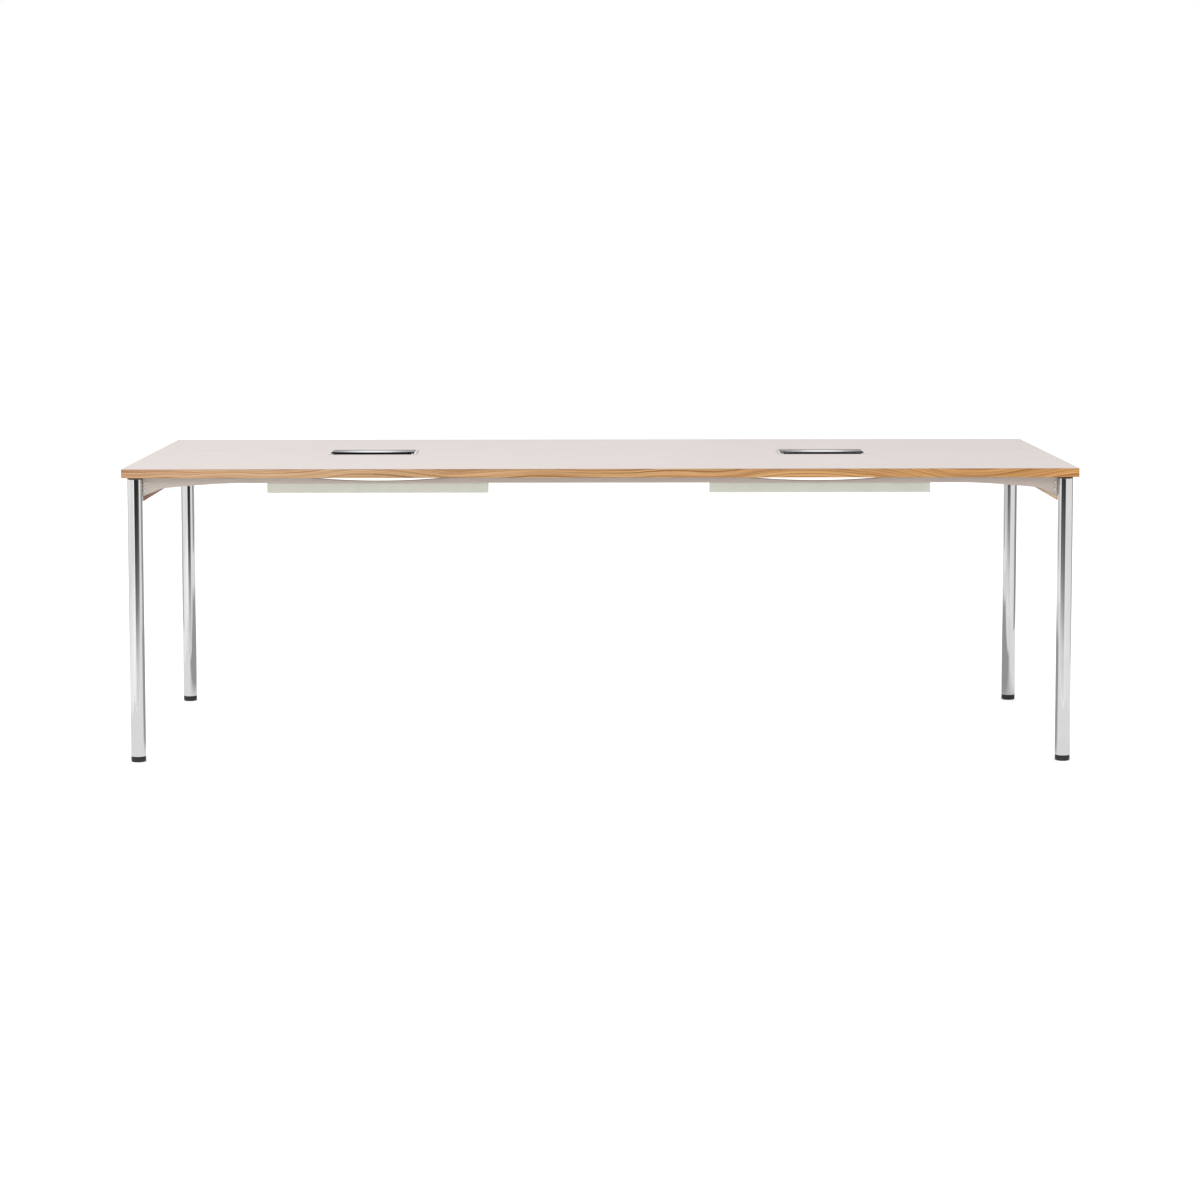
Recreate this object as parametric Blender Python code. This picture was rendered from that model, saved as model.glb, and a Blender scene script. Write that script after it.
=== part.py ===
"""Long work table: laminate top with oak lipping, shaped aprons, chromed tube legs on levelling glides,
two hinged cable flaps in the top and two sheet-metal cable trays under them.

Metres, +Z up. Origin on the floor under the middle of the top, X along the length, front towards -Y.
"""

import math

import bmesh
import bpy
from mathutils import Matrix, Vector

# ------------------------------------------------------------------ driving dimensions
LENGTH = 2.400          # over the oak lipping
DEPTH = 1.000
HEIGHT = 0.745
GAP = 0.0003            # clearance between touching pieces

TOP_T = 0.0230          # laminate, core and balancing laminate together
LAMINATE_T = 0.0009
BACKING_T = 0.0009
LIPPING_W = 0.018       # oak strip, measured in from the edge
MITRE = 0.000212        # half of the mitre gap, along the edge

LEG_INSET = 0.030       # leg axis from both edges
LEG_R = 0.0190
LEG_WALL = 0.0020
CAP_T = 0.0038          # black cap between leg and top
CAP_PLUG = 0.010
FOOT_H = 0.0140         # black part of the glide
FOOT_R = 0.0188
STUD_R = 0.0050
STUD_TOP = 0.050
INSERT_H = 0.0260

APRON_T = 0.018
APRON_IN = 0.0105       # middle of aprons and rails, in from the leg axes: their outer faces are just inside the axes
COPE = 0.0005           # rail ends, hollowed round the legs, to the leg
APRON_H = 0.0155        # depth along the middle
APRON_RAMP = 0.0185     # slow deepening to the leg
APRON_RAMP_L = 0.240
CURVE_IN = 0.0175       # where the curve starts, in from the leg axis
APRON_TOE = 0.0492      # depth of the straight splay there, and its slope
APRON_SPLAY = 0.424
NOTCH_X = 0.5506        # cable notches in the apron's upper edge, either side of a line a little left of the middle
NOTCH_SHIFT = -0.0069
NOTCH_HALF = 0.195
NOTCH_D = 0.0102
RAIL_T = 0.018
RAIL_H = 0.0615

BRACKET_T = 0.0030      # folded corner bracket
BRACKET_H = 0.0380
BRACKET_REACH = 0.060   # x + y of its outer diagonal face, from the leg axis
BOLT_Z = 0.0238         # leg bolt below the underside of the top
BOLT_R = 0.0039
SCREW_IN = 0.0255       # apron screws from the leg axis
SCREW_Z = (0.0145, 0.0330)
SCREW_R = 0.0017
SCREW_HEAD_R = 0.0029

FLAP_X = 0.5990         # flap centres, either side of a line a little left of the middle
FLAP_SHIFT = -0.0065
FLAP_Y = 0.015
FLAP_W = 0.232          # frame over all
FLAP_D = 0.120
FRAME_TOP = 0.0016      # flange above the laminate
CHEEK_W = 0.005
COLLAR_X = 0.1052       # half sizes of the collar in the cut-out
COLLAR_Y = 0.0552
COLLAR_T = 0.0015
COLLAR_DOWN = 0.026
LID_TOP = 0.0042        # lid above the laminate, flush with the cheeks
LID_T = 0.0020
LID_FRONT = -0.0180     # front edge of the lid plate, from the flap centre
LIP_T = 0.0030
BAR_TOP = 0.0022        # brush holder along the front, above the laminate
BAR_BACK = -0.0480
HINGE_Y = 0.051         # hinge axis, from the flap centre
HINGE_Z = 0.0031        # and above the laminate
BARREL_R = 0.0011
PIN_R = 0.00055

TRAY_X = 0.5875         # tray centres, set off to the left like the flaps
TRAY_SHIFT = -0.0025
TRAY_HALF = 0.2940      # half length of the trough's front wall
TRAY_OVER = 0.0080      # which runs past the floor and rear wall at both ends
TRAY_Y0, TRAY_Y1 = -0.060, 0.080
TRAY_DOWN = 0.1016      # underside of the trough below the top
TRAY_FRONT_H = 0.027
TRAY_BACK_H = 0.016
SHEET_T = 0.0015

# ------------------------------------------------------------------ levels worked out from them
Z_TOP = HEIGHT
Z_UNDER = Z_TOP - TOP_T
Z_FACE = Z_TOP - LAMINATE_T             # underside of the face laminate
Z_CORE1 = Z_FACE - GAP
Z_CORE0 = Z_UNDER + BACKING_T + GAP
LEG_X = LENGTH / 2 - LEG_INSET
LEG_Y = DEPTH / 2 - LEG_INSET
Z_HANG = Z_UNDER - GAP                  # upper level of what touches the underside
Z_TRAY = Z_TOP - TRAY_DOWN
CORNERS = (("front_left", -1, -1), ("front_right", 1, -1), ("rear_left", -1, 1), ("rear_right", 1, 1))
SIDES = (("left", -1), ("right", 1))


# ------------------------------------------------------------------ scene and materials
for old in list(bpy.data.objects):
    bpy.data.objects.remove(old, do_unlink=True)


def finish(name, colour, roughness, metallic=0.0):
    made = bpy.data.materials.new(name)
    made.use_nodes = True
    shader = made.node_tree.nodes["Principled BSDF"]
    shader.inputs["Base Color"].default_value = (*colour, 1.0)
    shader.inputs["Roughness"].default_value = roughness
    shader.inputs["Metallic"].default_value = metallic
    made.diffuse_color = (*colour, 1.0)
    return made


LAMINATE = finish("laminate", (0.74, 0.68, 0.66), 0.45)
BACKING = finish("backing_laminate", (0.62, 0.57, 0.54), 0.55)
CORE = finish("core_board", (0.52, 0.38, 0.24), 0.85)
OAK = finish("oak", (0.55, 0.34, 0.17), 0.50)
APRON = finish("apron_laminate", (0.46, 0.40, 0.36), 0.50)
RAIL = finish("rail_wood", (0.50, 0.36, 0.26), 0.60)
CHROME = finish("chrome", (0.82, 0.82, 0.82), 0.06, 1.0)
STEEL = finish("steel", (0.55, 0.55, 0.56), 0.35, 1.0)
LID_STEEL = finish("lid_steel", (0.72, 0.72, 0.72), 0.16, 1.0)
BLACK = finish("black_plastic", (0.05, 0.05, 0.05), 0.50)
RUBBER = finish("black_rubber", (0.02, 0.02, 0.02), 0.80)
BRUSH = finish("black_brush", (0.015, 0.015, 0.015), 0.90)
PAINT = finish("tray_paint", (0.66, 0.67, 0.59), 0.45)


# ------------------------------------------------------------------ helpers
def empty(name, location, parent=None):
    made = bpy.data.objects.new(name, None)
    made.empty_display_size = 0.05
    bpy.context.scene.collection.objects.link(made)
    made.parent = parent
    made.location = location
    return made


def place(name, bm, material, parent, location=(0, 0, 0), sharp=None):
    """One named object from a bmesh in the parent's frame, faces pointing out."""
    bmesh.ops.recalc_face_normals(bm, faces=bm.faces[:])
    mesh = bpy.data.meshes.new(name)
    bm.to_mesh(mesh)
    bm.free()
    mesh.materials.append(material)
    if sharp is not None:
        mesh.shade_smooth()
        mesh.set_sharp_from_angle(angle=math.radians(sharp))
    made = bpy.data.objects.new(name, mesh)
    bpy.context.scene.collection.objects.link(made)
    made.parent = parent
    made.location = location
    return made


def block(bm, low, high):
    low, high = Vector(low), Vector(high)
    size = high - low
    bmesh.ops.create_cube(
        bm, size=1.0, matrix=Matrix.Translation((low + high) / 2) @ Matrix.Diagonal((*size, 1.0))
    )
    return bm


def prism(bm, points, along):
    """A flat outline of 3-D points, extruded by a vector."""
    face = bm.faces.new([bm.verts.new(p) for p in points])
    made = bmesh.ops.extrude_face_region(bm, geom=[face])
    moved = [v for v in made["geom"] if isinstance(v, bmesh.types.BMVert)]
    bmesh.ops.translate(bm, verts=moved, vec=Vector(along))
    return bm


def turned(bm, profile, steps, ring=False):
    """(radius, height) points spun about Z. A ring's profile closes on itself, another runs from axis to axis."""
    verts = [bm.verts.new((r, 0.0, z)) for r, z in profile]
    edges = [bm.edges.new(pair) for pair in zip(verts, verts[1:])]
    if ring:
        edges.append(bm.edges.new((verts[-1], verts[0])))
    bmesh.ops.spin(
        bm, geom=verts + edges, cent=(0, 0, 0), axis=(0, 0, 1), dvec=(0, 0, 0),
        angle=2 * math.pi, steps=steps, use_merge=False, use_duplicate=False,
    )
    bmesh.ops.remove_doubles(bm, verts=bm.verts[:], dist=1e-6)
    return bm


def rod(bm, start, end, r0, r1=None, sides=12):
    """A straight round bar, or a cone with r1, between two points."""
    start, end = Vector(start), Vector(end)
    way = end - start
    bmesh.ops.create_cone(
        bm, cap_ends=True, segments=sides, radius1=r0, radius2=r0 if r1 is None else r1, depth=way.length,
        matrix=Matrix.Translation((start + end) / 2) @ way.to_track_quat("Z", "Y").to_matrix().to_4x4(),
    )
    return bm


def cut(target, bm, label):
    """Takes a bmesh of closed shapes, in the target's frame, out of the target."""
    bmesh.ops.recalc_face_normals(bm, faces=bm.faces[:])
    mesh = bpy.data.meshes.new(label)
    bm.to_mesh(mesh)
    bm.free()
    cutter = bpy.data.objects.new(label, mesh)
    bpy.context.scene.collection.objects.link(cutter)
    cutter.parent = target.parent
    cutter.location = target.location
    cutter.hide_render = True
    cutter.display_type = "WIRE"
    change = target.modifiers.new(label, "BOOLEAN")
    change.operation = "DIFFERENCE"
    change.solver = "EXACT"
    change.object = cutter


def join(target, bm, label):
    """Adds a bmesh of closed shapes, in the target's frame, to the target."""
    cut(target, bm, label)
    target.modifiers[label].operation = "UNION"


table = empty("table", (0, 0, 0))

# ------------------------------------------------------------------ top
core_x, core_y = LENGTH / 2 - LIPPING_W - GAP, DEPTH / 2 - LIPPING_W - GAP


def cut_outs(z0, z1):
    bm = bmesh.new()
    for _, sx in SIDES:
        x, y = sx * FLAP_X + FLAP_SHIFT, FLAP_Y
        block(
            bm,
            (x - COLLAR_X - GAP, y - COLLAR_Y - GAP, z0),
            (x + COLLAR_X + GAP, y + COLLAR_Y + GAP, z1),
        )
    return bm


core = place("top_core", block(bmesh.new(), (-core_x, -core_y, Z_CORE0), (core_x, core_y, Z_CORE1)), CORE, table)
cut(core, cut_outs(Z_CORE0 - 0.01, Z_CORE1 + 0.01), "core_cut_outs")
face = place(
    "top_laminate",
    block(bmesh.new(), (-LENGTH / 2, -DEPTH / 2, Z_FACE), (LENGTH / 2, DEPTH / 2, Z_TOP)), LAMINATE, table,
)
cut(face, cut_outs(Z_FACE - 0.01, Z_TOP + 0.01), "laminate_cut_outs")
backing = place(
    "underside_laminate",
    block(bmesh.new(), (-core_x, -core_y, Z_UNDER), (core_x, core_y, Z_UNDER + BACKING_T)), BACKING, table,
)
cut(backing, cut_outs(Z_UNDER - 0.01, Z_UNDER + 0.02), "backing_cut_outs")

# Mitred oak strips: the long ones along the front and rear, the short ones along the ends.
for name, sy in (("edge_front", -1), ("edge_rear", 1)):
    out, inn = DEPTH / 2, DEPTH / 2 - LIPPING_W
    half = LENGTH / 2 - MITRE
    outline = [(-half, sy * out), (half, sy * out), (half - LIPPING_W, sy * inn), (LIPPING_W - half, sy * inn)]
    place(name, prism(bmesh.new(), [(x, y, Z_UNDER) for x, y in outline], (0, 0, Z_CORE1 - Z_UNDER)), OAK, table)
for name, sx in (("edge_left", -1), ("edge_right", 1)):
    out, inn = LENGTH / 2, LENGTH / 2 - LIPPING_W
    half = DEPTH / 2 - MITRE
    outline = [(sx * out, -half), (sx * out, half), (sx * inn, half - LIPPING_W), (sx * inn, LIPPING_W - half)]
    place(name, prism(bmesh.new(), [(x, y, Z_UNDER) for x, y in outline], (0, 0, Z_CORE1 - Z_UNDER)), OAK, table)


# ------------------------------------------------------------------ aprons and side rails
def apron_depth(s):
    """Depth below the top at a distance s from the curve's start: a slow curve, blended into a straight splay."""
    slow = APRON_H + APRON_RAMP * max(0.0, 1.0 - s / APRON_RAMP_L) ** 1.5
    splay = APRON_TOE - APRON_SPLAY * s
    return (slow + splay + math.sqrt((slow - splay) ** 2 + 0.0016 ** 2)) / 2 if s < 0.12 else slow


curve_start = LEG_X - CURVE_IN
apron_half = LEG_X - APRON_IN - RAIL_T / 2 - GAP    # the aprons stand between the rails
hollow_r = LEG_R + COPE


def leg_hollows(spots):
    bm = bmesh.new()
    for x, y in spots:
        rod(bm, (x, y, Z_UNDER - 0.15), (x, y, Z_UNDER + 0.05), hollow_r, sides=48)
    return bm


def bolt_grooves(spots):
    """Room for the diagonal leg bolts in the inner corners."""
    bm = bmesh.new()
    for x, y in spots:
        start = Vector((x, y, Z_UNDER - BOLT_Z))
        rod(bm, start, start - Vector((x / abs(x), y / abs(y), 0)) * 0.035, BOLT_R + 0.0006, sides=16)
    return bm


upper = [(-apron_half, Z_HANG)]
for centre in (NOTCH_SHIFT - NOTCH_X, NOTCH_SHIFT + NOTCH_X):
    for i in range(19):
        u = -1.0 + 2.0 * i / 18
        upper.append((centre + u * NOTCH_HALF, Z_HANG - NOTCH_D * (1.0 - u * u)))
upper.append((apron_half, Z_HANG))
steps = [curve_start - apron_half] + [APRON_RAMP_L * (i / 24) ** 1.2 for i in range(1, 25)]
lower = [(curve_start - s, Z_UNDER - apron_depth(s)) for s in steps]
lower += [(s - curve_start, Z_UNDER - apron_depth(s)) for s in reversed(steps)]
screw_spots = [(sx * (LEG_X - SCREW_IN), Z_UNDER - z) for sx in (-1, 1) for z in SCREW_Z]
for name, sy in (("apron_front", -1), ("apron_rear", 1)):
    outer = sy * (LEG_Y - APRON_IN + APRON_T / 2)
    apron = place(
        name,
        prism(bmesh.new(), [(x, outer, z) for x, z in upper + lower], (0, -sy * APRON_T, 0)),
        APRON, table,
    )
    holes = bmesh.new()
    for x, z in screw_spots:
        rod(holes, (x, outer + sy * 0.01, z), (x, outer - sy * (APRON_T + 0.01), z), SCREW_R + 0.0005, sides=8)
    cut(apron, holes, name + "_holes")
    cut(apron, bolt_grooves([(-LEG_X, sy * LEG_Y), (LEG_X, sy * LEG_Y)]), name + "_grooves")

for name, sx in (("rail_left", -1), ("rail_right", 1)):
    half = LEG_Y - 0.0150
    mid = sx * (LEG_X - APRON_IN)
    rail = place(
        name,
        block(
            bmesh.new(),
            (mid - RAIL_T / 2, -half, Z_UNDER - RAIL_H),
            (mid + RAIL_T / 2, half, Z_HANG),
        ),
        RAIL, table,
    )
    cut(rail, leg_hollows([(sx * LEG_X, -LEG_Y), (sx * LEG_X, LEG_Y)]), name + "_hollows")
    cut(rail, bolt_grooves([(sx * LEG_X, -LEG_Y), (sx * LEG_X, LEG_Y)]), name + "_grooves")

# ------------------------------------------------------------------ legs, caps, inserts, glides, brackets
leg_top = Z_HANG - CAP_T - GAP
bore_r = LEG_R - LEG_WALL
for tag, sx, sy in CORNERS:
    axis = empty("leg_axis_" + tag, (sx * LEG_X, sy * LEG_Y, 0), table)
    inward = Vector((-sx, -sy, 0)).normalized()

    tube = place(
        "leg_tube_" + tag,
        turned(
            bmesh.new(),
            [(LEG_R, FOOT_H + GAP), (LEG_R, leg_top), (bore_r, leg_top), (bore_r, FOOT_H + GAP)], 40, ring=True,
        ),
        CHROME, axis, sharp=40,
    )
    z_bolt = Z_UNDER - BOLT_Z
    cut(
        tube,
        rod(
            bmesh.new(),
            inward * 0.008 + Vector((0, 0, z_bolt)), inward * 0.030 + Vector((0, 0, z_bolt)), BOLT_R + 0.0005,
        ),
        "leg_hole_" + tag,
    )

    place(
        "leg_cap_" + tag,
        turned(
            bmesh.new(),
            [
                (0, Z_HANG - CAP_T - CAP_PLUG), (bore_r - GAP - 0.001, Z_HANG - CAP_T - CAP_PLUG),
                (bore_r - GAP, Z_HANG - CAP_T - CAP_PLUG + 0.001), (bore_r - GAP, Z_HANG - CAP_T),
                (LEG_R - 0.0002, Z_HANG - CAP_T), (LEG_R - 0.0002, Z_HANG), (0, Z_HANG),
            ],
            32,
        ),
        BLACK, axis, sharp=40,
    )

    z0 = FOOT_H + 2 * GAP
    place(
        "leg_insert_" + tag,
        turned(
            bmesh.new(),
            [
                (bore_r - GAP, z0), (bore_r - GAP, z0 + INSERT_H - 0.002), (bore_r - GAP - 0.002, z0 + INSERT_H),
                (STUD_R + GAP, z0 + INSERT_H), (STUD_R + GAP, z0),
            ],
            24, ring=True,
        ),
        BLACK, axis, sharp=40,
    )

    # Foot and stud of one glide, its origin on the screw axis at the floor.
    glide_axis = empty("glide_axis_" + tag, (0, 0, 0), axis)
    place(
        "glide_" + tag,
        turned(
            bmesh.new(),
            [
                (0, 0), (0.0157, 0), (0.0173, 0.0006), (0.0183, 0.0017), (FOOT_R, 0.0034), (FOOT_R, FOOT_H - 0.0006),
                (FOOT_R - 0.0006, FOOT_H), (STUD_R, FOOT_H), (STUD_R, STUD_TOP - 0.0015), (STUD_R - 0.0015, STUD_TOP),
                (0, STUD_TOP),
            ],
            28,
        ),
        BLACK, glide_axis, sharp=40,
    )

    # Folded bracket: two flanges against the apron and the rail, joined by a diagonal web facing the leg.
    near = LEG_R + 0.002
    lie_x, lie_y = APRON_IN + RAIL_T / 2 + GAP, APRON_IN + APRON_T / 2 + GAP
    web = BRACKET_REACH - BRACKET_T * math.sqrt(2)
    outline = [
        (near, lie_y), (BRACKET_REACH - lie_y, lie_y), (lie_x, BRACKET_REACH - lie_x), (lie_x, near + 0.004),
        (lie_x + BRACKET_T, near + 0.004), (lie_x + BRACKET_T, web - lie_x - BRACKET_T),
        (web - lie_y - BRACKET_T, lie_y + BRACKET_T), (near, lie_y + BRACKET_T),
    ]
    z_low = Z_UNDER - 0.0005 - BRACKET_H
    bracket = place(
        "corner_bracket_" + tag,
        prism(bmesh.new(), [(-sx * x, -sy * y, z_low) for x, y in outline], (0, 0, BRACKET_H)),
        STEEL, axis,
    )
    holes = rod(
        bmesh.new(),
        inward * 0.020 + Vector((0, 0, z_bolt)), inward * 0.056 + Vector((0, 0, z_bolt)), BOLT_R + 0.0005,
    )
    for z in SCREW_Z:
        rod(
            holes,
            (-sx * SCREW_IN, -sy * (lie_y - 0.004), Z_UNDER - z),
            (-sx * SCREW_IN, -sy * (lie_y + BRACKET_T + 0.003), Z_UNDER - z), SCREW_R + 0.0005, sides=8,
        )
    cut(bracket, holes, "bracket_holes_" + tag)

    # Hexagon bolt from the web into the leg: shank, washer face and head turned about one line.
    seat = BRACKET_REACH / math.sqrt(2) + GAP
    bolt = bmesh.new()
    shape = [(0, 0.0095, 0), (BOLT_R - 0.0008, 0.0095, 0), (BOLT_R, 0.0103, 0), (BOLT_R, seat, 0), (0.0080, seat, 0),
             (0.0080, seat + 0.0016, 0), (0.0075, seat + 0.0016, 1), (0.0075, seat + 0.0069, 1), (0, seat + 0.0069, 0)]
    rings = []
    for r, z, hexagon in shape:
        row = []
        for i in range(12):
            a = i * math.pi / 6
            flat = math.cos(math.pi / 6) if hexagon and i % 2 else 1.0
            row.append(bolt.verts.new((r * flat * math.cos(a), r * flat * math.sin(a), z)))
        rings.append(row)
    for below, above in zip(rings, rings[1:]):
        for i in range(12):
            j = (i + 1) % 12
            bolt.faces.new((below[i], below[j], above[j], above[i]))
    bmesh.ops.remove_doubles(bolt, verts=bolt.verts[:], dist=1e-6)
    bmesh.ops.dissolve_degenerate(bolt, edges=bolt.edges[:], dist=1e-7)
    made = place("leg_bolt_" + tag, bolt, STEEL, axis, location=(0, 0, z_bolt), sharp=30)
    made.rotation_mode = "QUATERNION"
    made.rotation_quaternion = inward.to_track_quat("Z", "Y")

# Domed apron screws, heads on the outer faces, tips through the bracket flanges.
for sy, end in ((-1, "front"), (1, "rear")):
    seat = sy * (LEG_Y - APRON_IN + APRON_T / 2 + GAP)
    for sx, side in ((-1, "left"), (1, "right")):
        for z, level in zip(SCREW_Z, ("upper", "lower")):
            body = turned(
                bmesh.new(),
                [
                    (0, -0.0242), (SCREW_R - 0.0007, -0.0242), (SCREW_R, -0.0232), (SCREW_R, 0), (SCREW_HEAD_R, 0),
                    (SCREW_HEAD_R - 0.0003, 0.0009), (0.0016, 0.0016), (0, 0.0018),
                ],
                10,
            )
            made = place(
                f"apron_screw_{end}_{side}_{level}", body, STEEL, table,
                location=(sx * (LEG_X - SCREW_IN), seat, Z_UNDER - z), sharp=40,
            )
            made.rotation_euler = (sy * -math.pi / 2, 0, 0)


# ------------------------------------------------------------------ cable flaps
def rectangle(bm, half_x, half_y, z):
    return [bm.verts.new(p) for p in (
        (-half_x, -half_y, z), (half_x, -half_y, z), (half_x, half_y, z), (-half_x, half_y, z))]


for side, sx in SIDES:
    spot = empty("flap_" + side, (sx * FLAP_X + FLAP_SHIFT, FLAP_Y, Z_TOP), table)

    # Frame: a flange on the laminate with a collar down through the cut-out, and raised cheeks at both ends.
    bm = bmesh.new()
    inner_x, inner_y = COLLAR_X - COLLAR_T, COLLAR_Y - COLLAR_T
    loops = [
        rectangle(bm, inner_x, inner_y, -COLLAR_DOWN), rectangle(bm, inner_x, inner_y, FRAME_TOP),
        rectangle(bm, FLAP_W / 2, FLAP_D / 2, FRAME_TOP), rectangle(bm, FLAP_W / 2, FLAP_D / 2, GAP),
        rectangle(bm, COLLAR_X, COLLAR_Y, GAP), rectangle(bm, COLLAR_X, COLLAR_Y, -COLLAR_DOWN),
    ]
    for a, b in zip(loops, loops[1:] + loops[:1]):
        for i in range(4):
            j = (i + 1) % 4
            bm.faces.new((a[i], a[j], b[j], b[i]))
    frame = place("flap_frame_" + side, bm, CHROME, spot)
    cheeks = bmesh.new()
    for end in (-1, 1):
        xs = sorted((end * (FLAP_W / 2 - CHEEK_W), end * FLAP_W / 2))
        block(cheeks, (xs[0], -FLAP_D / 2, 0.0009), (xs[1], FLAP_D / 2, LID_TOP))
    join(frame, cheeks, "flap_cheeks_" + side)
    # The front of the flange is left out, for the brush holder.
    bar_half = inner_x - 0.0005
    gate = block(
        bmesh.new(), (-bar_half - GAP, -FLAP_D / 2 - 0.001, 0.0), (bar_half + GAP, -inner_y + 0.001, 0.010)
    )
    cut(frame, gate, "flap_gate_" + side)
    reach = FLAP_W / 2 + 0.01
    cut(
        frame,
        rod(bmesh.new(), (-reach, HINGE_Y, HINGE_Z), (reach, HINGE_Y, HINGE_Z), PIN_R + 0.00035, sides=12),
        "flap_pin_hole_" + side,
    )

    place(
        "flap_pin_" + side,
        rod(
            bmesh.new(),
            (0.0005 - FLAP_W / 2, HINGE_Y, HINGE_Z), (FLAP_W / 2 - 0.0005, HINGE_Y, HINGE_Z), PIN_R, sides=12,
        ),
        STEEL, spot, sharp=40,
    )

    # Lid: a plate rolled into a hinge barrel at its rear edge. Its origin lies on the hinge axis.
    hinge = empty("flap_hinge_" + side, (0, HINGE_Y, HINGE_Z), spot)
    lid_half = FLAP_W / 2 - CHEEK_W - GAP
    top, bottom = LID_TOP - HINGE_Z, LID_TOP - LID_T - HINGE_Z
    last = math.pi + math.asin(-bottom / BARREL_R)
    outline = [(LID_FRONT - HINGE_Y, bottom), (LID_FRONT - HINGE_Y, top)]
    turns = 12
    for i in range(turns + 1):
        a = math.pi / 2 - (math.pi / 2 - (last - 2 * math.pi)) * i / turns
        outline.append((BARREL_R * math.cos(a), BARREL_R * math.sin(a)))
    lid = place(
        "flap_lid_" + side,
        prism(bmesh.new(), [(-lid_half, y, z) for y, z in outline], (2 * lid_half, 0, 0)),
        LID_STEEL, hinge,
    )
    cut(
        lid,
        rod(bmesh.new(), (-lid_half - 0.01, 0, 0), (lid_half + 0.01, 0, 0), PIN_R + 0.00015, sides=16),
        "flap_lid_bore_" + side,
    )
    lip_back = LID_FRONT - HINGE_Y - GAP
    place(
        "flap_lip_" + side,
        block(bmesh.new(), (-lid_half + 0.0002, lip_back - LIP_T, bottom), (lid_half - 0.0002, lip_back, top)),
        RUBBER, hinge,
    )

    # Brush: a holder along the front edge, and the bristles from it across the cable slot as one block.
    brush_back = LID_FRONT - LIP_T - 0.0011
    outline = [
        (-FLAP_D / 2, GAP), (-FLAP_D / 2, BAR_TOP), (BAR_BACK, BAR_TOP), (BAR_BACK, 0.0008), (brush_back, 0.0008),
        (brush_back, -0.006), (GAP - inner_y, -0.006), (GAP - inner_y, GAP),
    ]
    place(
        "flap_brush_" + side,
        prism(bmesh.new(), [(-bar_half, y, z) for y, z in outline], (2 * bar_half, 0, 0)), BRUSH, spot,
    )

# ------------------------------------------------------------------ cable trays
for side, sx in SIDES:
    hung = empty("tray_" + side + "_place", (sx * TRAY_X + TRAY_SHIFT, 0, Z_TRAY), table)
    t, y0, y1, lip = SHEET_T, TRAY_Y0, TRAY_Y1, 0.006
    section = [
        (y0, 0), (y1, 0), (y1, TRAY_BACK_H), (y1 - lip, TRAY_BACK_H), (y1 - lip, TRAY_BACK_H - t),
        (y1 - t, TRAY_BACK_H - t), (y1 - t, t), (y0 + t, t), (y0 + t, TRAY_FRONT_H - t), (y0 + lip, TRAY_FRONT_H - t),
        (y0 + lip, TRAY_FRONT_H), (y0, TRAY_FRONT_H),
    ]
    tray = place(
        "tray_" + side,
        prism(bmesh.new(), [(-TRAY_HALF, y, z) for y, z in section], (2 * TRAY_HALF, 0, 0)), PAINT, hung,
    )
    ends = bmesh.new()
    for ex in (-1, 1):
        xs = sorted((ex * (TRAY_HALF - TRAY_OVER), ex * (TRAY_HALF + 0.01)))
        block(ends, (xs[0], y0 + 0.0075, -0.01), (xs[1], y1 + 0.01, 0.06))
    cut(tray, ends, "tray_ends_" + side)

    # Hangers: one folded sheet each, standing in the trough and closing its end, with a flange under the top.
    for end, ex in (("outer", sx), ("inner", -sx)):
        bm = bmesh.new()
        x = ex * (TRAY_HALF - TRAY_OVER - 0.001)
        ya, yb, zb, nick = y0 + t + GAP, y1 - t - GAP, t + GAP, 0.004
        z_up = Z_HANG - Z_TRAY - SHEET_T
        z_front, z_back = TRAY_FRONT_H - t - 2 * GAP, TRAY_BACK_H - t - 2 * GAP
        p = [bm.verts.new((x, y, z)) for y, z in (
            (ya + nick, zb), (yb - nick, zb), (yb, zb + nick), (yb, z_back), (yb - 0.0065, z_back),
            (yb - 0.030, z_up - 0.022), (yb - 0.030, z_up), (ya + 0.030, z_up), (ya + 0.030, z_up - 0.022),
            (ya + 0.0065, z_front), (ya, z_front), (ya, zb + nick))]
        bm.faces.new(p)

        def fold(a, b, shift):
            far = [bm.verts.new(v.co + Vector(shift)) for v in (b, a)]
            bm.faces.new((a, b, *far))

        fold(p[1], p[0], (-ex * 0.014, 0, 0))
        fold(p[11], p[10], (-ex * 0.010, 0, 0))
        fold(p[3], p[2], (-ex * 0.010, 0, 0))
        fold(p[7], p[6], (ex * 0.022, 0, 0))
        bmesh.ops.recalc_face_normals(bm, faces=bm.faces[:])
        plate = max(bm.faces, key=lambda f: f.calc_area())
        if plate.normal.x * ex < 0:
            bmesh.ops.reverse_faces(bm, faces=bm.faces[:])
        mesh = bpy.data.meshes.new(f"tray_hanger_{side}_{end}")
        bm.to_mesh(mesh)
        bm.free()
        mesh.materials.append(PAINT)
        hanger = bpy.data.objects.new(f"tray_hanger_{side}_{end}", mesh)
        bpy.context.scene.collection.objects.link(hanger)
        hanger.parent = hung
        sheet = hanger.modifiers.new("sheet", "SOLIDIFY")
        sheet.thickness = SHEET_T
        sheet.offset = -1.0
        sheet.use_even_offset = True
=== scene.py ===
"""Looks of the long work table: laminate top with an oak edge, chromed tube legs, shaped aprons, cable flaps and trays.

Metres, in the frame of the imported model. Front towards -Y.
"""

import math

import bmesh
import bpy
from mathutils import Matrix, Vector


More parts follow.
